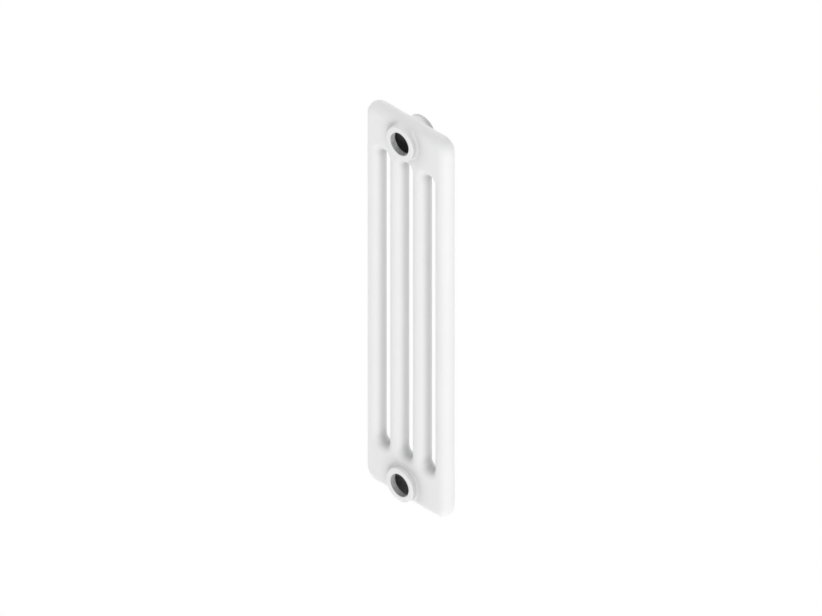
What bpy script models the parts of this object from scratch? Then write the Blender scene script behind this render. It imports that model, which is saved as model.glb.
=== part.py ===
"""One section of a four-column tubular steel radiator.

Frame: X runs along the row of columns (the radiator's depth from wall to room),
Y runs along the hub axis (the direction in which sections are joined), Z is up.
Front is -Y. The origin is the bottom centre of the section's bounding box.
Units are metres.

The section is a weldment of twelve pieces:
  * four identical pressed half shells, two to a head, meeting on the plane Y = 0,
  * four straight column tubes, butt-jointed to the stubs of the heads,
  * four identical threaded hub bushes, one set into each drawn neck.
"""

import math

import bmesh
import bpy
from mathutils import Euler, Vector

# Columns and heads. Levels are heights above the section's centre.
HUB_CENTRES = 0.500        # between the top and the bottom hub axes
HUB_TO_EDGE = 0.0267       # hub axis to the outermost edge of a head
COLUMNS = 4
COLUMN_PITCH = 0.0383      # between neighbouring column axes
TUBE_RADIUS = 0.0115       # outside radius of a column and of a head's edge
TUBE_WALL = 0.00125
SHELL_WALL = 0.0015
CORNER_RADIUS = 0.0188     # outside radius of a head's corner, seen along Y
SLOT_LEVEL = 0.20905       # where the end of a slot between columns starts to round
SLOT_FLAT = 0.0020         # half width of the flat crown of a slot's end
JOINT_LEVEL = 0.2000       # weld between head and tube
GAP = 0.0003               # clearance between neighbouring pieces

# Hubs. Necks and tools are measured along Y from the mid plane.
FACE_TO_FACE = 0.040       # over the faces of the front and the rear hub
HUB_RADIUS = 0.0226        # outside radius of neck and bush flange
NECK_END = 0.0150          # end of the drawn neck
NECK_ROOT = 0.0083         # where the neck dies into the shell
NECK_BORE = 0.0211         # inside radius of the drawn neck
BORE_TOOL_NEAR = 0.006     # the piercing tool starts inside the shell's cavity
BORE_TOOL_FAR = 0.030      # and ends clear of the neck
BUSH_LENGTH = 0.0084
THREAD_MINOR = 0.01515     # G1 female thread, minor radius
THREAD_MAJOR = 0.01665     # G1 female thread, major radius plus relief
MOUTH_CHAMFER = 0.0006
RIM_ROUND = 0.0012
RIM_MID_INSET = RIM_ROUND * 0.29   # the rim's middle point, in from its square corner

# Facets
ARCH_STEPS = 5             # round each corner of a slot's end
CORNER_STEPS = 5           # round a head's corner
EDGE_STEPS = 6             # over a quarter of a head's full-round edge
RING_STEPS = 40            # round a hub
TUBE_STEPS = 24            # round a tube

# Mesh clean-up
SHARP_ANGLE = math.radians(32)
MERGE_DISTANCE = 1e-6          # for points built twice
BOOLEAN_MERGE_DISTANCE = 2e-6  # for slivers left by the booleans

# Finish
WHITE = (0.83, 0.83, 0.83, 1.0)
PAINT_ROUGHNESS = 0.35     # shells and tubes
BUSH_ROUGHNESS = 0.30

# Derived places. A core line is the centre line of a head's full-round edge.
HALF_GAP = GAP / 2
HUB_LEVEL = HUB_CENTRES / 2
CENTRE_HEIGHT = HUB_LEVEL + HUB_TO_EDGE           # section centre above the origin
STUB_END = JOINT_LEVEL + HALF_GAP
CORE_TOP = HUB_LEVEL + HUB_TO_EDGE - TUBE_RADIUS
CORE_SIDE = COLUMN_PITCH * (COLUMNS - 1) / 2      # axis of an outer column
CORE_CORNER = CORNER_RADIUS - TUBE_RADIUS
ARCH_HALF = COLUMN_PITCH / 2                      # slot centre to a column's axis
ARCH_RADIUS = ARCH_HALF - SLOT_FLAT               # core line round a slot's corner


def clear_scene():
    for obj in list(bpy.data.objects):
        bpy.data.objects.remove(obj, do_unlink=True)


def new_object(name, mesh, parent=None, location=(0, 0, 0), rotation=(0, 0, 0)):
    obj = bpy.data.objects.new(name, mesh)
    obj.location = location
    obj.rotation_euler = Euler(rotation)
    obj.parent = parent
    bpy.context.scene.collection.objects.link(obj)
    return obj


def fill_mesh(mesh, shape):
    """Moves a bmesh into a mesh, smooth but for its sharp edges."""
    shape.to_mesh(mesh)
    shape.free()
    mesh.shade_smooth()
    mesh.set_sharp_from_angle(angle=SHARP_ANGLE)
    return mesh


def to_mesh(name, shape):
    bmesh.ops.remove_doubles(shape, verts=shape.verts, dist=MERGE_DISTANCE)
    bmesh.ops.recalc_face_normals(shape, faces=shape.faces)
    return fill_mesh(bpy.data.meshes.new(name), shape)


# ------------------------------------------------------------------ the heads
# A chain is a core line as (x, z, out_x, out_z): z is from the section centre and
# (out_x, out_z) is the direction in which the full-round edge bulges.

def quarter_turn(centre_x, centre_z, radius, start, bulge, steps):
    """A quarter circle of chain points. With bulge 1 it runs clockwise as seen
    from the front and bulges away from its centre; with -1 it does the opposite."""
    points = []
    for i in range(steps + 1):
        angle = start - bulge * i * math.pi / 2 / steps
        cosine, sine = math.cos(angle), math.sin(angle)
        points.append((centre_x + radius * cosine, centre_z + radius * sine,
                       bulge * cosine, bulge * sine))
    return points


def outer_chain():
    """From the first column over the top of the head to the last."""
    chain = [(-CORE_SIDE, STUB_END, -1, 0), (-CORE_SIDE, SLOT_LEVEL, -1, 0)]
    for side, start in ((-1, math.pi), (1, math.pi / 2)):
        chain += quarter_turn(side * (CORE_SIDE - CORE_CORNER), CORE_TOP - CORE_CORNER,
                              CORE_CORNER, start, bulge=1, steps=CORNER_STEPS)
    chain += [(CORE_SIDE, SLOT_LEVEL, 1, 0), (CORE_SIDE, STUB_END, 1, 0)]
    return chain


def arch_chain(slot_x):
    """Over one slot, from the column at its +X side to the one at its -X side."""
    chain = [(slot_x + ARCH_HALF, STUB_END, -1, 0)]
    for side, start in ((1, 0), (-1, math.pi / 2)):
        chain += quarter_turn(slot_x + side * SLOT_FLAT, SLOT_LEVEL,
                              ARCH_RADIUS, start, bulge=-1, steps=ARCH_STEPS)
    chain.append((slot_x - ARCH_HALF, STUB_END, 1, 0))
    return chain


def edge_rows(shape, chain, radius):
    """Sweeps a quarter circle along a chain: rows[i][j] runs from the flat face
    (j = 0) round to the parting plane (last j)."""
    last_angle = math.acos(HALF_GAP / radius)
    rows = []
    for x, z, out_x, out_z in chain:
        row = []
        for j in range(EDGE_STEPS + 1):
            angle = last_angle * j / EDGE_STEPS
            reach = radius * math.sin(angle)
            row.append(shape.verts.new(
                (x + out_x * reach, -radius * math.cos(angle), z + out_z * reach)))
        rows.append(row)
    return rows


def bridge(shape, row, next_row):
    """Quads between two rows of points."""
    for j in range(EDGE_STEPS):
        shape.faces.new((row[j], row[j + 1], next_row[j + 1], next_row[j]))


def half_shell_blank():
    """The pressing without its hub: two skins over one core line, closed along
    the parting plane and at the ends of the four half stubs."""
    shape = bmesh.new()
    slots = [COLUMN_PITCH * (i - (COLUMNS - 2) / 2) for i in range(COLUMNS - 1)]
    chains = [outer_chain()] + [arch_chain(slot_x) for slot_x in reversed(slots)]
    flats = {TUBE_RADIUS: [], TUBE_RADIUS - SHELL_WALL: []}   # skin radius: flat's outline
    swept = []
    for chain in chains:
        pair = []
        for radius, flat in flats.items():
            rows = edge_rows(shape, chain, radius)
            for row, next_row in zip(rows, rows[1:]):
                bridge(shape, row, next_row)
            flat += [row[0] for row in rows[1:-1]]
            pair.append(rows)
        swept.append(pair)

    for outer, inner in swept:
        for i in range(len(outer) - 1):                       # parting plane
            shape.faces.new((outer[i][-1], outer[i + 1][-1],
                             inner[i + 1][-1], inner[i][-1]))
        for end in (0, -1):                                   # stub ends
            bridge(shape, outer[end], inner[end])

    # Neighbouring chains meet on a column's axis, so one of each equal pair goes.
    for flat in flats.values():
        loop = [vert for vert, following in zip(flat, flat[1:] + flat[:1])
                if (vert.co - following.co).length > MERGE_DISTANCE]
        shape.faces.new(loop)
    return to_mesh("half_shell_blank", shape)


def hub_cylinder(name, radius, near, far):
    """A closed cylinder on the top hub axis between two distances in front of
    the mid plane."""
    shape = bmesh.new()
    bmesh.ops.create_cone(shape, cap_ends=True, segments=RING_STEPS,
                          radius1=radius, radius2=radius, depth=far - near)
    bmesh.ops.rotate(shape, verts=shape.verts, matrix=Euler((math.pi / 2, 0, 0)).to_matrix())
    bmesh.ops.translate(shape, verts=shape.verts,
                        vec=Vector((0, -(near + far) / 2, HUB_LEVEL)))
    return new_object(name, to_mesh(name, shape))


def add_boolean(obj, operation, tool):
    modifier = obj.modifiers.new(operation.lower(), "BOOLEAN")
    modifier.operation = operation
    modifier.solver = "EXACT"
    modifier.object = tool


def half_shell_mesh():
    """The blank with its hub neck drawn out and pierced: a top front shell."""
    blank = new_object("half_shell_pattern", half_shell_blank())
    neck = hub_cylinder("neck_tool", HUB_RADIUS, NECK_ROOT, NECK_END)
    bore = hub_cylinder("neck_bore_tool", NECK_BORE, BORE_TOOL_NEAR, BORE_TOOL_FAR)
    add_boolean(blank, "UNION", neck)
    add_boolean(blank, "DIFFERENCE", bore)
    graph = bpy.context.evaluated_depsgraph_get()
    graph.update()
    mesh = bpy.data.meshes.new_from_object(blank.evaluated_get(graph))
    mesh.name = "half_shell"
    for obj in (blank, neck, bore):
        bpy.data.objects.remove(obj, do_unlink=True)

    shape = bmesh.new()
    shape.from_mesh(mesh)
    bmesh.ops.remove_doubles(shape, verts=shape.verts, dist=BOOLEAN_MERGE_DISTANCE)
    bmesh.ops.dissolve_degenerate(shape, edges=shape.edges, dist=BOOLEAN_MERGE_DISTANCE)
    return fill_mesh(mesh, shape)


# ------------------------------------------------------------- turned pieces
def lathe(name, profile, steps):
    """Turns a closed profile of (radius, height) points about the Z axis."""
    shape = bmesh.new()
    ring = [shape.verts.new((radius, 0, height)) for radius, height in profile]
    edges = [shape.edges.new(pair) for pair in zip(ring, ring[1:] + ring[:1])]
    bmesh.ops.spin(shape, geom=ring + edges, cent=(0, 0, 0), axis=(0, 0, 1),
                   angle=2 * math.pi, steps=steps, use_merge=True)
    return to_mesh(name, shape)


def tube_mesh():
    half = JOINT_LEVEL - HALF_GAP
    bore = TUBE_RADIUS - TUBE_WALL
    profile = [(bore, -half), (TUBE_RADIUS, -half), (TUBE_RADIUS, half), (bore, half)]
    return lathe("column_tube", profile, TUBE_STEPS)


def bush_mesh():
    """The bush's axis is Z, with its face at height 0 and its spigot below."""
    flange_back = -(FACE_TO_FACE / 2 - NECK_END - GAP)
    spigot_radius = NECK_BORE - GAP
    profile = [
        (THREAD_MINOR + MOUTH_CHAMFER, 0.0),
        (HUB_RADIUS - RIM_ROUND, 0.0),
        (HUB_RADIUS - RIM_MID_INSET, -RIM_MID_INSET),
        (HUB_RADIUS, -RIM_ROUND),
        (HUB_RADIUS, flange_back),
        (spigot_radius, flange_back),
        (spigot_radius, -BUSH_LENGTH),
        (THREAD_MAJOR, -BUSH_LENGTH),
        (THREAD_MINOR, -BUSH_LENGTH + (THREAD_MAJOR - THREAD_MINOR)),
        (THREAD_MINOR, -MOUTH_CHAMFER),
    ]
    return lathe("hub_bush", profile, RING_STEPS)


# ------------------------------------------------------------------- assembly
def white_paint(name, roughness):
    material = bpy.data.materials.new(name)
    material.use_nodes = True
    shader = material.node_tree.nodes["Principled BSDF"]
    shader.inputs["Base Color"].default_value = WHITE
    shader.inputs["Roughness"].default_value = roughness
    shader.inputs["Metallic"].default_value = 0.0
    return material


def add_piece(name, mesh, section, roughness=PAINT_ROUGHNESS, **placing):
    """Places a piece. Pieces share meshes, so the material, named after its
    piece, is linked to the object."""
    obj = new_object(name, mesh, section, **placing)
    if not mesh.materials:
        mesh.materials.append(None)
    obj.material_slots[0].link = "OBJECT"
    obj.material_slots[0].material = white_paint(name, roughness)


def add_shells(section):
    """The top front shell, and the same shell turned into the other three places."""
    mesh = half_shell_mesh()
    rotations = {
        "top_head_front_shell": (0, 0, 0),
        "top_head_rear_shell": (0, 0, math.pi),
        "bottom_head_front_shell": (0, math.pi, 0),
        "bottom_head_rear_shell": (math.pi, 0, 0),
    }
    for name, rotation in rotations.items():
        add_piece(name, mesh, section, rotation=rotation)


def add_tubes(section):
    mesh = tube_mesh()
    for i in range(COLUMNS):
        add_piece(f"column_tube_{i + 1}", mesh, section,
                  location=(COLUMN_PITCH * i - CORE_SIDE, 0, 0))


def add_bushes(section):
    """Each bush is turned so that its face points away from the mid plane."""
    mesh = bush_mesh()
    for level, z in (("top", HUB_LEVEL), ("bottom", -HUB_LEVEL)):
        for side, sign in (("front", -1), ("rear", 1)):
            add_piece(f"hub_bush_{level}_{side}", mesh, section, BUSH_ROUGHNESS,
                      location=(0, sign * FACE_TO_FACE / 2, z),
                      rotation=(-sign * math.pi / 2, 0, 0))


def build():
    clear_scene()
    section = new_object("radiator_section", None, location=(0, 0, CENTRE_HEIGHT))
    section.empty_display_size = 0.05
    add_shells(section)
    add_tubes(section)
    add_bushes(section)


build()
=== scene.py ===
"""One section of a four-column tubular radiator, standing upright on the floor.

The four columns stand in a row along X. Each head is a front and a rear half shell that meet
on the mid plane y = 0, and -Y is the front. The threaded hub bushes point along Y.

The CAD solids are faceted, so each is replaced by a finer mesh in the same place. The half
shells come from a distance field (a ball-swept core with a filleted neck). The tubes and
bushes are turned, and the bushes carry a helical thread.
"""

import math

import bpy
import numpy as np
from mathutils import Matrix, Vector
from mathutils.bvhtree import BVHTree


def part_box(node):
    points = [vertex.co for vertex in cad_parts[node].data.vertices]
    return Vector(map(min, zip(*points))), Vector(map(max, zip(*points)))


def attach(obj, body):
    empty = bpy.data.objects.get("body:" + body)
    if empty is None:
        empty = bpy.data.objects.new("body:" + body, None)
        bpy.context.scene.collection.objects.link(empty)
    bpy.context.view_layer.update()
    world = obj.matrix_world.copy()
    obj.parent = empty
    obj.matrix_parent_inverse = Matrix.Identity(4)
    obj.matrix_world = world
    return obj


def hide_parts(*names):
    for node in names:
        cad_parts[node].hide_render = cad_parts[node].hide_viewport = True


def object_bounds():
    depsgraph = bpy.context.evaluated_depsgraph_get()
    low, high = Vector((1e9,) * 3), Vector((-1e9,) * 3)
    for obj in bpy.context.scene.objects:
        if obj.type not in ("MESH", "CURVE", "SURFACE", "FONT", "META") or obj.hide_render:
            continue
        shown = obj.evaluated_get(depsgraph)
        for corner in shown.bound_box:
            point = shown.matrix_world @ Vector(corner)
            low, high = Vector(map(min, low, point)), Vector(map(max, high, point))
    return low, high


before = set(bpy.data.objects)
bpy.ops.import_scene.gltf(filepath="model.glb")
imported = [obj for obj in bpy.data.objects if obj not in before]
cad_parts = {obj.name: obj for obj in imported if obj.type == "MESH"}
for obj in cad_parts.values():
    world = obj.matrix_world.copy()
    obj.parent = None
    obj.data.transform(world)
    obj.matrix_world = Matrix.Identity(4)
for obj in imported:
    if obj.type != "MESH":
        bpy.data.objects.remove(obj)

# ------------------------------------------------------------------ sizes, in metres
cad_lo, cad_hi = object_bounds()
tube_lo, tube_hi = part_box("column_tube_1")
last_lo, last_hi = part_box("column_tube_4")
bush_lo, bush_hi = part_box("hub_bush_top_front")
low_lo, low_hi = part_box("hub_bush_bottom_front")

CENTRE_Z = (cad_lo.z + cad_hi.z) / 2
TUBE_R = (tube_hi.x - tube_lo.x) / 2
TUBE_WALL = 0.00125
CORE_SIDE = (last_lo.x + last_hi.x - tube_lo.x - tube_hi.x) / 4   # centre to an end tube's axis
PITCH = CORE_SIDE * 2 / 3                        # between neighbouring tubes' axes
HUB_LEVEL = (bush_lo.z + bush_hi.z - low_lo.z - low_hi.z) / 4     # centre to a hub's axis
HUB_R = (bush_hi.z - bush_lo.z) / 2
FACE = cad_hi.y                                  # mid plane to a hub's face
BUSH_LENGTH = bush_hi.y - bush_lo.y

# Heads. Heights are from the section's centre.
JOINT = 0.2000                                   # the weld of head and tube
CORE_TOP = (cad_hi.z - CENTRE_Z) - TUBE_R
CORE_CORNER = 0.0073
SLOT = 0.20905                                   # where a slot's end starts to round
SLOT_FLAT = 0.0020                               # half width of the flat crown of a slot's end
ARCH_R = PITCH / 2 - SLOT_FLAT
SHELL_WALL = 0.0015
NECK_END = 0.0150                                # mid plane to the end of a neck
NECK_FILLET = 0.0034
NECK_BORE = HUB_R - SHELL_WALL

# Skins of a half shell: depth below the outside, cell size in X and Z, cells along the neck.
OUTER_SKIN = (0.0, 0.0011, 14)
INNER_SKIN = (SHELL_WALL, 0.0025, 6)

# Planes a half shell ends on: axis, cell layer (None: the neck's last), way the rim faces.
SHELL_RIMS = (
    (1, 0, (0.0, 1.0, 0.0)),         # parting plane
    (2, 0, (0.0, 0.0, -1.0)),        # welds to the tubes
    (1, None, (0.0, -1.0, 0.0)),     # neck's end
)

TUBE_STEPS = 112
TUBE_RINGS = (0.003, 0.006, 0.010, 0.014, 0.020)     # from a tube's end

# Bushes. Depths are from the hub's face.
BUSH_STEPS = 144
THREAD_MINOR = 0.015146                          # radii
THREAD_MAJOR = 0.016625
THREAD_PITCH = 0.0254 / 11
MOUTH = 0.0006                                   # chamfer where the bore meets the face
THREAD_START = MOUTH * 0.75                      # depth at which the thread begins
FADE_IN = 0.0009                                 # depth over which it reaches its full cut
FADE_OUT = 0.0006
THREAD_RUNOUT = 0.0004                           # end of the thread to the bush's inner end
BACK_CHAMFER = 0.0008                            # of the bore, at the inner end
CREST_SHARE = 0.14                               # of the pitch, on each side of a crest's middle
THREAD_CUT = 0.92                                # share of the full thread depth that is cut
BUSH_RIM = 0.0012                                # rounding of the face's outer edge
SPIGOT_GAP = 0.0002
SPIGOT_CHAMFER = 0.0004
LIP_DEPTH, LIP_WIDTH = 0.00008, 0.00012          # edge between the face and its chamfer


def unit(v):
    return v / np.maximum(np.linalg.norm(v, axis=-1, keepdims=True), 1e-12)


# ------------------------------------------------------------------ distance fields
def plan_distance(x, height):
    """Distance in the XZ plane to the core whose ball-swept hull is a head: a rounded
    plate, open downwards, with the round ends of the slots between the tubes cut in."""
    side = np.abs(x) - (CORE_SIDE - CORE_CORNER)
    rise = height - (CORE_TOP - CORE_CORNER)
    plate = (np.hypot(np.maximum(side, 0), np.maximum(rise, 0))
             + np.minimum(np.maximum(side, rise), 0) - CORE_CORNER)
    nearest_slot = np.clip(np.round(x / PITCH), -1, 1) * PITCH
    side, rise = np.abs(x - nearest_slot) - SLOT_FLAT, height - SLOT
    slot = (ARCH_R - np.hypot(np.maximum(side, 0), np.maximum(rise, 0))
            - np.minimum(np.maximum(side, rise), 0))
    slot = np.where(np.abs(x) > CORE_SIDE, -1.0, slot)
    return np.maximum(np.maximum(plate, slot), 0.0)


def head_field(points):
    """Distance to the outer skin of a head with its hub neck, negative inside. points hold
    x, y and the height above the section's centre."""
    x, y, height = points[..., 0], points[..., 1], points[..., 2]
    head = np.hypot(plan_distance(x, height), y) - TUBE_R
    neck = np.hypot(x, height - HUB_LEVEL) - HUB_R
    fillet = np.hypot(np.maximum(NECK_FILLET - head, 0), np.maximum(NECK_FILLET - neck, 0))
    return np.maximum(NECK_FILLET, np.minimum(head, neck)) - fillet


def gradient(field, points, step=2e-6):
    slope = np.empty_like(points)
    for axis in range(3):
        shift = np.zeros(3)
        shift[axis] = step
        slope[..., axis] = (field(points + shift) - field(points - shift)) / (2 * step)
    return slope


def surface_net(field, centre, size, below, above):
    """A quad mesh of field = 0 on a grid whose cells are centred on centre + size * (i, j, k),
    from i = -below to above, with one vertex to a cell, pulled onto the surface.
    Gives vertices, quads and each vertex's cell (i, j, k)."""
    axes = [centre[a] + size[a] * (np.arange(-below[a], above[a] + 2) - 0.5) for a in range(3)]
    grid = np.stack(np.meshgrid(*axes, indexing="ij"), -1)
    value = field(grid)
    inside = value < 0
    shape = [len(a) - 1 for a in axes]

    # a cell's vertex starts at the mean of the crossings on its edges
    total, count = np.zeros(shape + [3]), np.zeros(shape)
    crossings = []
    for axis in range(3):
        lo, hi = [slice(None)] * 3, [slice(None)] * 3
        lo[axis], hi[axis] = slice(0, -1), slice(1, None)
        lo, hi = tuple(lo), tuple(hi)
        cross = inside[lo] != inside[hi]
        share = np.where(cross, value[lo] / np.where(cross, value[lo] - value[hi], 1), 0)
        point = grid[lo] + share[..., None] * (grid[hi] - grid[lo])
        point = np.where(cross[..., None], point, 0)
        first, second = [a for a in range(3) if a != axis]
        for i in (0, 1):
            for j in (0, 1):
                cut = [slice(None)] * 3
                cut[first] = slice(i, i + shape[first])
                cut[second] = slice(j, j + shape[second])
                total += point[tuple(cut)]
                count += cross[tuple(cut)]
        crossings.append((axis, cross, inside[lo]))
    used = count > 0
    index = np.full(shape, -1)
    index[used] = np.arange(used.sum())
    verts = total[used] / count[used][:, None]
    cells = np.argwhere(used) - np.array(below)

    # each crossed edge gives a quad between the four cells round it
    quads = []
    for axis, cross, inner in crossings:
        u, v = (axis + 1) % 3, (axis + 2) % 3
        at = np.argwhere(cross)
        at = at[(at[:, u] > 0) & (at[:, u] < shape[u]) & (at[:, v] > 0) & (at[:, v] < shape[v])]
        corners = []
        for step_u, step_v in ((-1, -1), (0, -1), (0, 0), (-1, 0)):
            cell = at.copy()
            cell[:, u] += step_u
            cell[:, v] += step_v
            corners.append(index[tuple(cell.T)])
        quad = np.stack(corners, 1)
        outward = inner[tuple(at.T)]
        quad[~outward] = quad[~outward][:, ::-1]
        quads.append(quad)

    for _ in range(8):
        slope = gradient(field, verts)
        steep = np.maximum((slope * slope).sum(1), 1e-6)
        verts = verts - field(verts)[:, None] * slope / steep[:, None]
    return verts, np.concatenate(quads), cells


# ------------------------------------------------------------------ rims between two skins
def trace(edges):
    """Splits boundary edges (pairs) into chains of vertices; a closed chain repeats its first."""
    near = {}
    for a, b in edges:
        near.setdefault(a, []).append(b)
        near.setdefault(b, []).append(a)
    chains, seen = [], set()
    for start in sorted(near, key=lambda v: (len(near[v]) != 1, v)):
        if start in seen:
            continue
        chain = [start]
        seen.add(start)
        while True:
            ahead = [v for v in near[chain[-1]] if v not in seen]
            if not ahead:
                break
            chain.append(ahead[0])
            seen.add(ahead[0])
        if len(near[start]) == 2:
            chain.append(start)
        chains.append(chain)
    return chains


def rim_chains(quads, cells, neck_cells):
    """The chains of free edges of a skin, in a list for each of SHELL_RIMS."""
    sides = np.concatenate([quads[:, [k, (k + 1) % 4]] for k in range(4)])
    pairs, counts = np.unique(np.sort(sides, 1), axis=0, return_counts=True)
    free = pairs[counts == 1]
    rims = []
    for axis, layer, _ in SHELL_RIMS:
        layer = -neck_cells if layer is None else layer
        on_plane = (cells[free, axis] == layer).all(1)
        rims.append(trace([tuple(pair) for pair in free[on_plane]]))
    return rims


def match(co, chain, others):
    """The chain among others whose middle and ends lie nearest to chain's."""
    middle, ends = co[chain].mean(0), co[[chain[0], chain[-1]]]

    def gap(other):
        forth = np.abs(co[[other[0], other[-1]]] - ends).sum()
        back = np.abs(co[[other[-1], other[0]]] - ends).sum()
        return np.linalg.norm(co[other].mean(0) - middle) + min(forth, back)

    return min(others, key=gap)


def turn_to(co, chain, other):
    """other, turned or rolled so that it runs beside chain."""
    def gap(a, b):
        return np.linalg.norm(co[a] - co[b])

    if chain[0] == chain[-1]:
        ring = other[:-1]
        first = int(np.argmin(np.linalg.norm(co[ring] - co[chain[0]], axis=1)))
        ring = ring[first:] + ring[:first]
        ring = ring + ring[:1]
        quarter = chain[len(chain) // 4]
        ahead, back = ring[len(ring) // 4], ring[-1 - len(ring) // 4]
        return ring[::-1] if gap(back, quarter) < gap(ahead, quarter) else ring
    return other[::-1] if gap(other[0], chain[0]) > gap(other[-1], chain[0]) else other


def zip_strip(co, a, b):
    """Triangles between two chains of vertices that run the same way."""
    def along(chain):
        run = np.r_[0, np.cumsum(np.linalg.norm(np.diff(co[chain], axis=0), axis=1))]
        return run / run[-1]

    along_a, along_b = along(a), along(b)
    i = j = 0
    triangles = []
    while i < len(a) - 1 or j < len(b) - 1:
        if j == len(b) - 1 or (i < len(a) - 1 and along_a[i + 1] <= along_b[j + 1]):
            triangles.append((a[i], a[i + 1], b[j]))
            i += 1
        else:
            triangles.append((a[i], b[j + 1], b[j]))
            j += 1
    return triangles


# ------------------------------------------------------------------ the pressed heads
# A shape is (vertices, faces, a normal per face corner, a material index per face).
# Material 0 is the painted outside and 1 is bare.

def shell_skin(depth, cell, neck_cells):
    """One skin of the front half shell, facing outwards: vertices, quads, normals, rims."""
    def field(points):
        return head_field(points) + depth

    size = (cell, NECK_END / neck_cells, cell)
    reach = int((CORE_SIDE + TUBE_R) / cell) + 3
    rise = int((CORE_TOP + TUBE_R - JOINT) / cell) + 3
    verts, quads, cells = surface_net(field, (0, 0, JOINT), size,
                                      (reach, neck_cells + 1, 1), (reach, 1, rise))
    keep = (cells[:, 1] <= 0) & (cells[:, 1] >= -neck_cells) & (cells[:, 2] >= 0)
    quads = quads[keep[quads].all(1)]
    verts[cells[:, 1] == 0, 1] = 0.0
    verts[cells[:, 2] == 0, 2] = JOINT
    verts[cells[:, 1] == -neck_cells, 1] = -NECK_END
    used, quads = np.unique(quads, return_inverse=True)
    quads = quads.reshape(-1, 4)
    verts, cells = verts[used], cells[used]
    normals = unit(gradient(field, verts))
    normals[cells[:, 1] == 0, 1] = 0         # no crease between the front and rear halves
    return verts, quads, unit(normals), rim_chains(quads, cells, neck_cells)


def half_shell():
    """The front half of a top head as a closed sheet-metal shell. Its heights are from the
    section's centre."""
    outer, outer_quads, outer_normals, outer_rims = shell_skin(*OUTER_SKIN)
    inner, inner_quads, inner_normals, inner_rims = shell_skin(*INNER_SKIN)
    base = len(outer)
    co = np.concatenate([outer, inner])
    faces = [tuple(q) for q in outer_quads] + [tuple(q + base) for q in inner_quads[:, ::-1]]
    vertex_normals = np.concatenate([outer_normals, -inner_normals])
    normals = [vertex_normals[v] for face in faces for v in face]
    mats = [0] * len(outer_quads) + [1] * len(inner_quads)
    for outs, ins, (_, _, facing) in zip(outer_rims, inner_rims, SHELL_RIMS):
        ins = [[v + base for v in chain] for chain in ins]
        for chain in outs:
            other = turn_to(co, chain, match(co, chain, ins))
            for tri in zip_strip(co, chain, other):
                if np.cross(co[tri[1]] - co[tri[0]], co[tri[2]] - co[tri[0]]) @ facing < 0:
                    tri = tri[::-1]
                faces.append(tri)
                normals += [facing] * 3
                mats.append(1)
    return co, faces, np.array(normals), mats


# ------------------------------------------------------------------ turned pieces
def ring_angles(steps):
    return np.arange(steps) * 2 * math.pi / steps


def profile_normals(points):
    """For each segment of a closed profile (material on the left as it runs), its outward
    normals at both ends: shared across gentle turns, weighted by length, split at corners."""
    p = np.array(points, float)
    along = np.roll(p, -1, 0) - p
    length = np.linalg.norm(along, axis=1)
    normal = np.stack([along[:, 1], -along[:, 0]], 1) / length[:, None]
    ends = []
    for own in range(len(p)):
        pair = []
        for other in (own - 1, (own + 1) % len(p)):
            if normal[other] @ normal[own] > math.cos(math.radians(24)):
                mean = normal[other] * length[other] ** 2 + normal[own] * length[own] ** 2
                pair.append(mean / np.linalg.norm(mean))
            else:
                pair.append(normal[own])
        ends.append(pair)
    return ends


def turned(points, steps, tags):
    """A closed profile of (radius, height), turned about Z. tags: a material per segment,
    or None to leave the segment open."""
    cos, sin = np.cos(ring_angles(steps)), np.sin(ring_angles(steps))
    co = np.array([(r * c, r * s, h) for r, h in points for c, s in zip(cos, sin)])
    faces, normals, mats = [], [], []
    for i, (tag, ends) in enumerate(zip(tags, profile_normals(points))):
        if tag is None:
            continue
        k = (i + 1) % len(points)
        (r0, h0), (r1, h1) = ends
        for j in range(steps):
            m = (j + 1) % steps
            faces.append((i * steps + j, i * steps + m, k * steps + m, k * steps + j))
            normals += [(r0 * cos[j], r0 * sin[j], h0), (r0 * cos[m], r0 * sin[m], h0),
                        (r1 * cos[m], r1 * sin[m], h1), (r1 * cos[j], r1 * sin[j], h1)]
            mats.append(tag)
    return co, faces, np.array(normals), mats


def quarter_round(centre_r, centre_h, radius, steps):
    """Points of a quarter circle in the (radius, height) half plane, from its side to its top."""
    angles = [math.radians(90 * i / steps) for i in range(steps + 1)]
    return [(centre_r + radius * math.cos(a), centre_h + radius * math.sin(a)) for a in angles]


def tube():
    """A tube with extra rings near its ends, where the heads begin to shade it."""
    bore = TUBE_R - TUBE_WALL
    rings = [JOINT - d for d in TUBE_RINGS]
    heights = [-JOINT] + [-z for z in rings] + rings[::-1] + [JOINT]
    outside = [(TUBE_R, z) for z in heights]
    tags = [1] + [0] * (len(outside) - 1) + [1, 1]
    return turned([(bore, -JOINT)] + outside + [(bore, JOINT)], TUBE_STEPS, tags)


def thread_radius(angle, depth):
    """Radius of the bush's right-hand female thread."""
    turn = (depth / THREAD_PITCH + angle / (2 * math.pi)) % 1.0
    ridge = 1 - np.abs(2 * turn - 1)
    cut = np.clip((ridge - CREST_SHARE) / (1 - 2 * CREST_SHARE), 0, 1)
    cut = 0.35 * cut + 0.65 * cut * cut * (3 - 2 * cut)      # straight flanks, part smoothed
    fade = (np.clip((depth - THREAD_START) / FADE_IN, 0, 1)
            * np.clip((BUSH_LENGTH - THREAD_RUNOUT - depth) / FADE_OUT, 0, 1))
    wall = THREAD_MINOR + (THREAD_MAJOR - THREAD_MINOR) * cut * fade * THREAD_CUT
    mouth = THREAD_MINOR + np.maximum(MOUTH - depth, 0)
    back = THREAD_MINOR + np.maximum(depth - (BUSH_LENGTH - BACK_CHAMFER), 0)
    return np.maximum(np.maximum(wall, mouth), back)


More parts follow.
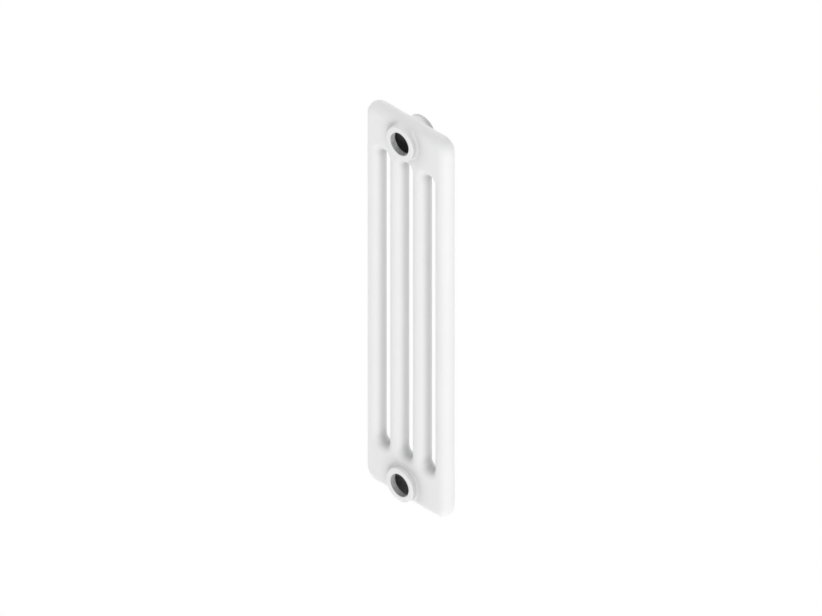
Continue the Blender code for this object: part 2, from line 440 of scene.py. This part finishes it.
def bore_normals(angles, depth, step=2e-5):
    """Normals of the bore, towards its axis, from the slopes of its radius."""
    r = thread_radius(angles, depth)
    by_depth = (thread_radius(angles, depth + step)
                - thread_radius(angles, depth - step)) / (2 * step)
    by_angle = (thread_radius(angles + step, depth)
                - thread_radius(angles - step, depth)) / (2 * step)
    return unit(np.stack([-np.cos(angles) - by_angle / r * np.sin(angles),
                          -np.sin(angles) + by_angle / r * np.cos(angles),
                          -by_depth], 1))


def bush():
    """The bush with its axis on Z, its face at height 0 and its spigot below. The bore is
    a grid over angle and depth; everything outside it is turned."""
    back = -(FACE - NECK_END)
    spigot = NECK_BORE - SPIGOT_GAP
    mouth_r = THREAD_MINOR + MOUTH
    inside = [(THREAD_MINOR + BACK_CHAMFER, -BUSH_LENGTH),
              (spigot - SPIGOT_CHAMFER, -BUSH_LENGTH),
              (spigot, -BUSH_LENGTH + SPIGOT_CHAMFER),
              (spigot, back)]
    outside = [(HUB_R, back), (HUB_R, back * 0.7),
               *quarter_round(HUB_R - BUSH_RIM, -BUSH_RIM, BUSH_RIM, 10),
               (mouth_r + LIP_WIDTH, 0.0)]
    points = inside + outside + [(mouth_r, -LIP_DEPTH)]
    tags = [1] * len(inside) + [0] * len(outside) + [None]
    co, faces, normals, mats = turned(points, BUSH_STEPS, tags)

    # the bore's first and last rows are the profile's last and first rings
    depths = np.r_[LIP_DEPTH, np.linspace(0.0003, THREAD_START, 4),
                   np.linspace(THREAD_START, BUSH_LENGTH - THREAD_RUNOUT, 58)[1:], BUSH_LENGTH]
    angles = ring_angles(BUSH_STEPS)
    starts = [(len(points) - 1) * BUSH_STEPS]
    starts += [len(co) + i * BUSH_STEPS for i in range(len(depths) - 2)] + [0]
    bore = [(r * math.cos(a), r * math.sin(a), -depth)
            for depth in depths[1:-1] for r, a in zip(thread_radius(angles, depth), angles)]
    slopes = [bore_normals(angles, depth) for depth in depths]
    bore_corners = []
    for i in range(len(depths) - 1):
        tag = 1 if (depths[i] + depths[i + 1]) / 2 > MOUTH * 0.8 else 0
        for j in range(BUSH_STEPS):
            m = (j + 1) % BUSH_STEPS
            faces.append((starts[i] + m, starts[i + 1] + m, starts[i + 1] + j, starts[i] + j))
            bore_corners += [slopes[i][m], slopes[i + 1][m], slopes[i + 1][j], slopes[i][j]]
            mats.append(tag)
    return (np.concatenate([co, np.array(bore)]), faces,
            np.concatenate([normals, np.array(bore_corners)]), mats)


# ------------------------------------------------------------------ shader helpers
NOISE_SPAN = (0.3, 0.7)              # the part of a noise's range that is put to use


def new_material(name):
    material = bpy.data.materials.new(name)
    material.use_nodes = True
    tree = material.node_tree
    return material, tree, tree.nodes["Principled BSDF"]


def add(tree, kind, **values):
    """A new node, with its inputs or else its settings given by name."""
    node = tree.nodes.new(kind)
    for key, value in values.items():
        if key in node.inputs:
            node.inputs[key].default_value = value
        else:
            setattr(node, key, value)
    return node


def object_coord(tree):
    return add(tree, "ShaderNodeTexCoord").outputs["Object"]


def noise(tree, coord, scale, detail=2.0, rough=0.5):
    node = add(tree, "ShaderNodeTexNoise", Scale=scale, Detail=detail, Roughness=rough)
    tree.links.new(coord, node.inputs["Vector"])
    return node.outputs["Fac"]


def remap(tree, value, low, high, span=NOISE_SPAN):
    """Maps value from span to low..high."""
    node = add(tree, "ShaderNodeMapRange")
    for key, number in zip(("From Min", "From Max", "To Min", "To Max"), (*span, low, high)):
        node.inputs[key].default_value = number
    tree.links.new(value, node.inputs["Value"])
    return node.outputs["Result"]


def maths(tree, operation, a, b):
    node = add(tree, "ShaderNodeMath", operation=operation)
    for socket, value in zip(node.inputs, (a, b)):
        if isinstance(value, (int, float)):
            socket.default_value = value
        else:
            tree.links.new(value, socket)
    return node.outputs[0]


def link_grey(tree, value, socket):
    node = add(tree, "ShaderNodeCombineColor")
    for key in ("Red", "Green", "Blue"):
        tree.links.new(value, node.inputs[key])
    tree.links.new(node.outputs["Color"], socket)


def link_bump(tree, height, shader, strength, distance):
    bump = add(tree, "ShaderNodeBump", Strength=strength, Distance=distance)
    tree.links.new(height, bump.inputs["Height"])
    tree.links.new(bump.outputs["Normal"], shader.inputs["Normal"])


# ------------------------------------------------------------------ materials
PAINT_TONE = 0.80
PAINTED_SHADE_DEPTH = 0.8                   # power of the painted crease shade in the paint's tone


def paint(name):
    """Smooth stoved paint: faint orange peel, slow drift of tone and gloss, and painted
    shade in the creases, where the crease openness darkens the tone."""
    material, tree, shader = new_material(name)
    coord = object_coord(tree)
    drift = remap(tree, noise(tree, coord, scale=14.0, detail=3.0),
                  low=PAINT_TONE * 0.992, high=PAINT_TONE * 1.008)
    # painted shade: the crease openness, raised to a power, darkens the paint's tone where its sky
    # is blocked
    painted_crease_shade = add(tree, "ShaderNodeAttribute", attribute_name="painted_crease_shade").outputs["Fac"]
    tone = maths(tree, "MULTIPLY", drift, maths(tree, "POWER", painted_crease_shade, PAINTED_SHADE_DEPTH))
    link_grey(tree, tone, shader.inputs["Base Color"])
    patches = noise(tree, coord, scale=55.0, detail=4.0, rough=0.6)
    tree.links.new(remap(tree, patches, low=0.34, high=0.42), shader.inputs["Roughness"])
    peel = noise(tree, coord, scale=520.0, rough=0.45)
    link_bump(tree, peel, shader, strength=0.10, distance=0.00012)
    shader.inputs["IOR"].default_value = 1.5
    shader.inputs["Specular IOR Level"].default_value = 0.15      # a satin paint, nearly matt
    return material


def thread_steel():
    """Bare cut steel: an uneven tone and fine lines stacked along Y, the hubs' axis."""
    material, tree, shader = new_material("thread_steel")
    coord = object_coord(tree)
    drift = noise(tree, coord, scale=220.0, detail=4.0, rough=0.6)
    link_grey(tree, remap(tree, drift, low=0.49, high=0.61), shader.inputs["Base Color"])
    stretch = add(tree, "ShaderNodeMapping", Scale=(300.0, 9000.0, 300.0))
    tree.links.new(coord, stretch.inputs["Vector"])
    lines = noise(tree, stretch.outputs["Vector"], scale=1.0)
    tree.links.new(remap(tree, lines, low=0.38, high=0.55), shader.inputs["Roughness"])
    link_bump(tree, lines, shader, strength=0.25, distance=0.00005)
    shader.inputs["Metallic"].default_value = 0.35
    return material


def inside_steel():
    """The unpainted inside of the waterway: dull grey scale with faint blotches."""
    material, tree, shader = new_material("inside_steel")
    coord = object_coord(tree)
    drift = noise(tree, coord, scale=120.0, detail=5.0, rough=0.65)
    link_grey(tree, remap(tree, drift, low=0.29, high=0.39), shader.inputs["Base Color"])
    tree.links.new(remap(tree, drift, low=0.6, high=0.85), shader.inputs["Roughness"])
    grain = noise(tree, coord, scale=900.0, detail=3.0)
    link_bump(tree, grain, shader, strength=0.3, distance=0.0001)
    return material


# ------------------------------------------------------------------ assembly
shapes = {}                          # object name: (object, *shape)


def piece(node, shape, place, materials):
    """Puts a shape in its place instead of the CAD node."""
    name = node + "_fine"
    co, faces, normals, mats = shape
    turn = np.array(place.to_3x3())
    co = co @ turn.T + np.array(place.translation)
    normals = normals @ turn.T
    mesh = bpy.data.meshes.new(name)
    mesh.from_pydata([tuple(v) for v in co], [], [tuple(f) for f in faces])
    mesh.polygons.foreach_set("use_smooth", np.ones(len(mesh.polygons), bool))
    mesh.polygons.foreach_set("material_index", np.asarray(mats, np.int32))
    mesh.update()
    mesh.normals_split_custom_set([tuple(n) for n in normals])
    for material in materials:
        mesh.materials.append(material)
    obj = bpy.data.objects.new(name, mesh)
    bpy.context.scene.collection.objects.link(obj)
    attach(obj, "root")
    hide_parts(node)
    shapes[name] = (obj, co, faces, normals, mats)


def assemble():
    white = paint("white_paint")
    hub_white = paint("hub_paint")
    steel = thread_steel()
    dark = inside_steel()

    shell = half_shell()
    middle = Matrix.Translation((0, 0, CENTRE_Z))
    for node, turn in {
        "top_head_front_shell": Matrix.Identity(4),
        "top_head_rear_shell": Matrix.Rotation(math.pi, 4, "Z"),
        "bottom_head_front_shell": Matrix.Rotation(math.pi, 4, "Y"),
        "bottom_head_rear_shell": Matrix.Rotation(math.pi, 4, "X"),
    }.items():
        piece(node, shell, middle @ turn, (white, dark))

    column = tube()
    for i in range(4):
        node = f"column_tube_{i + 1}"
        lo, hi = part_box(node)
        place = Matrix.Translation(((lo.x + hi.x) / 2, 0, CENTRE_Z))
        piece(node, column, place, (white, dark))

    hub = bush()
    for level, sign_z in (("top", 1), ("bottom", -1)):
        for side, sign_y in (("front", -1), ("rear", 1)):
            place = (Matrix.Translation((0, sign_y * FACE, CENTRE_Z + sign_z * HUB_LEVEL))
                     @ Matrix.Rotation(-sign_y * math.pi / 2, 4, "X"))
            piece(f"hub_bush_{level}_{side}", hub, place, (hub_white, steel))


assemble()


# ------------------------------------------------------------------ painted shade in the creases
CREASE_REACH = 0.020                 # how far off a surface still counts for the painted crease shade
RAY_LIFT = 0.0002                    # starts a ray clear of its own surface
SKY_RAYS = 200


def directions(count):
    """Evenly spread unit vectors, in a spiral from pole to pole."""
    i = np.arange(count) + 0.5
    z = 1 - 2 * i / count
    angle = i * math.pi * (3 - math.sqrt(5))
    r = np.sqrt(1 - z * z)
    return np.stack([r * np.cos(angle), r * np.sin(angle), z], 1)


def openness(tree, co, faces, normals, mats):
    """For each point of the painted outside, the share of its sky that is clear within
    CREASE_REACH; 1 elsewhere."""
    total = np.zeros_like(co)
    corner = 0
    for face, mat in zip(faces, mats):
        if mat == 0:
            for k, v in enumerate(face):
                total[v] += normals[corner + k]
        corner += len(face)
    result = np.ones(len(co))
    painted = np.flatnonzero(np.linalg.norm(total, axis=1) > 1e-9)
    facing = unit(total[painted])
    sky = directions(SKY_RAYS)
    rays = [Vector(d) for d in sky]
    for v, normal, weight in zip(painted, facing, np.maximum(facing @ sky.T, 0)):
        start = Vector(co[v] + normal * RAY_LIFT)
        blocked = 0.0
        for k in np.flatnonzero(weight > 0.02):
            if tree.ray_cast(start, rays[k], CREASE_REACH)[0] is not None:
                blocked += weight[k]
        result[v] = 1 - blocked / weight.sum()

    # even out the steps between neighbouring points
    edges = np.array([(face[k], face[(k + 1) % len(face)])
                      for face, mat in zip(faces, mats) if mat == 0 for k in range(len(face))])
    for _ in range(2):
        sums, count = result.copy(), np.ones(len(co))
        for a, b in (edges.T, edges[:, ::-1].T):
            np.add.at(sums, a, result[b])
            np.add.at(count, a, 1)
        result = np.where(count > 1, sums / count, result)
    return np.clip(result, 0.02, 1)


def paint_crease_shade():
    """Gives every piece its openness as the attribute "painted_crease_shade", which the paint turns
    into painted shade.
    """
    verts, polygons = [], []
    for _, co, faces, _, _ in shapes.values():
        base = len(verts)
        verts += [tuple(c) for c in co]
        polygons += [tuple(int(v) + base for v in face) for face in faces]
    tree = BVHTree.FromPolygons(verts, polygons)
    alike = {}
    for name, (obj, *shape) in shapes.items():
        # the four half shells are one shape by symmetry, and so are the four bushes
        kind = "shell" if "shell" in name else "bush" if "bush" in name else name
        if kind not in alike:
            alike[kind] = openness(tree, *shape)
        attribute = obj.data.attributes.new("painted_crease_shade", "FLOAT", "POINT")
        attribute.data.foreach_set("value", alike[kind].astype(np.float32))


paint_crease_shade()


# ------------------------------------------------------------------ floor
FLOOR_HALF = 6.0
FLOOR_GAP = 0.0005                   # below the section
FLOOR_SEEN = 1.0                     # glow to the camera
FLOOR_CAST = 1.1                     # glow on everything it lights


def floor_glow():
    material, tree, shader = new_material("floor_white")
    tree.nodes.remove(shader)
    path = add(tree, "ShaderNodeLightPath")
    strength = remap(tree, path.outputs["Is Camera Ray"], FLOOR_CAST, FLOOR_SEEN, span=(0, 1))
    emission = add(tree, "ShaderNodeEmission", Color=(1, 1, 1, 1))
    tree.links.new(strength, emission.inputs["Strength"])
    output = tree.nodes["Material Output"]
    tree.links.new(emission.outputs["Emission"], output.inputs["Surface"])
    return material


def lay_floor():
    mesh = bpy.data.meshes.new("floor")
    corners = [(x * FLOOR_HALF, y * FLOOR_HALF, 0) for x, y in ((-1, -1), (1, -1), (1, 1), (-1, 1))]
    mesh.from_pydata(corners, [], [(0, 1, 2, 3)])
    floor = bpy.data.objects.new("floor", mesh)
    floor.location = (0, 0, cad_lo.z - FLOOR_GAP)
    mesh.materials.append(floor_glow())
    bpy.context.scene.collection.objects.link(floor)


lay_floor()


# ------------------------------------------------------------------ light
# A white studio: an even glow with six soft round lights in it, each a smooth lobe of the
# surroundings. All of it is plain white to the camera.
EVEN_GLOW = 0.44
LIGHT_SHARPNESS = 40.0     # each light is about 21 degrees across at half strength
SOFT_LIGHTS = (
    # name, azimuth from +X towards +Y and elevation in degrees, strength
    ("front", -45, 3, 8.7),
    ("front_high", -30, 28, 0.7),
    ("right", 45, 3, 1.4),
    ("high_right", 0, 55, 3.4),
    ("left", 180, 28, 6.3),
    ("back", 120, 28, 5.5),
)


def toward(azimuth, elevation):
    a, e = math.radians(azimuth), math.radians(elevation)
    return (math.cos(a) * math.cos(e), math.sin(a) * math.cos(e), math.sin(e))


def light_studio():
    world = bpy.data.worlds.new("studio")
    bpy.context.scene.world = world
    world.use_nodes = True
    tree = world.node_tree
    around = add(tree, "ShaderNodeTexCoord").outputs["Generated"]
    total = EVEN_GLOW
    for name, azimuth, elevation, strength in SOFT_LIGHTS:
        dot = add(tree, "ShaderNodeVectorMath", operation="DOT_PRODUCT", label=name)
        dot.inputs[1].default_value = toward(azimuth, elevation)
        tree.links.new(around, dot.inputs[0])
        ahead = maths(tree, "MAXIMUM", dot.outputs["Value"], 0.0)
        lobe = maths(tree, "POWER", ahead, LIGHT_SHARPNESS)
        total = maths(tree, "ADD", maths(tree, "MULTIPLY", lobe, strength), total)
    path = add(tree, "ShaderNodeLightPath")
    mix = add(tree, "ShaderNodeMix")
    tree.links.new(path.outputs["Is Camera Ray"], mix.inputs["Factor"])
    tree.links.new(total, mix.inputs["A"])
    mix.inputs["B"].default_value = 1.0
    background = tree.nodes["Background"]
    tree.links.new(mix.outputs["Result"], background.inputs["Strength"])
    background.inputs["Color"].default_value = (1, 1, 1, 1)


light_studio()


# ------------------------------------------------------------------ camera
VIEW_WIDTH = 0.9835
VIEW_SHIFT = (-0.00018248, 0.00012165)           # shares of the view's width
VIEW_AZIMUTH, VIEW_ELEVATION = -45, 35.264       # an isometric view from the front, +X side
VIEW_DISTANCE = 3.0


def place_camera():
    camera = bpy.data.cameras.new("camera")
    camera.type = "ORTHO"
    camera.ortho_scale = VIEW_WIDTH
    camera.shift_x, camera.shift_y = VIEW_SHIFT
    obj = bpy.data.objects.new("camera", camera)
    to_camera = Vector(toward(VIEW_AZIMUTH, VIEW_ELEVATION))
    obj.location = Vector((0, 0, CENTRE_Z)) + to_camera * VIEW_DISTANCE
    obj.rotation_euler = (-to_camera).to_track_quat("-Z", "Y").to_euler()
    bpy.context.scene.collection.objects.link(obj)
    bpy.context.scene.camera = obj
    bpy.context.scene.view_settings.view_transform = "Standard"


place_camera()
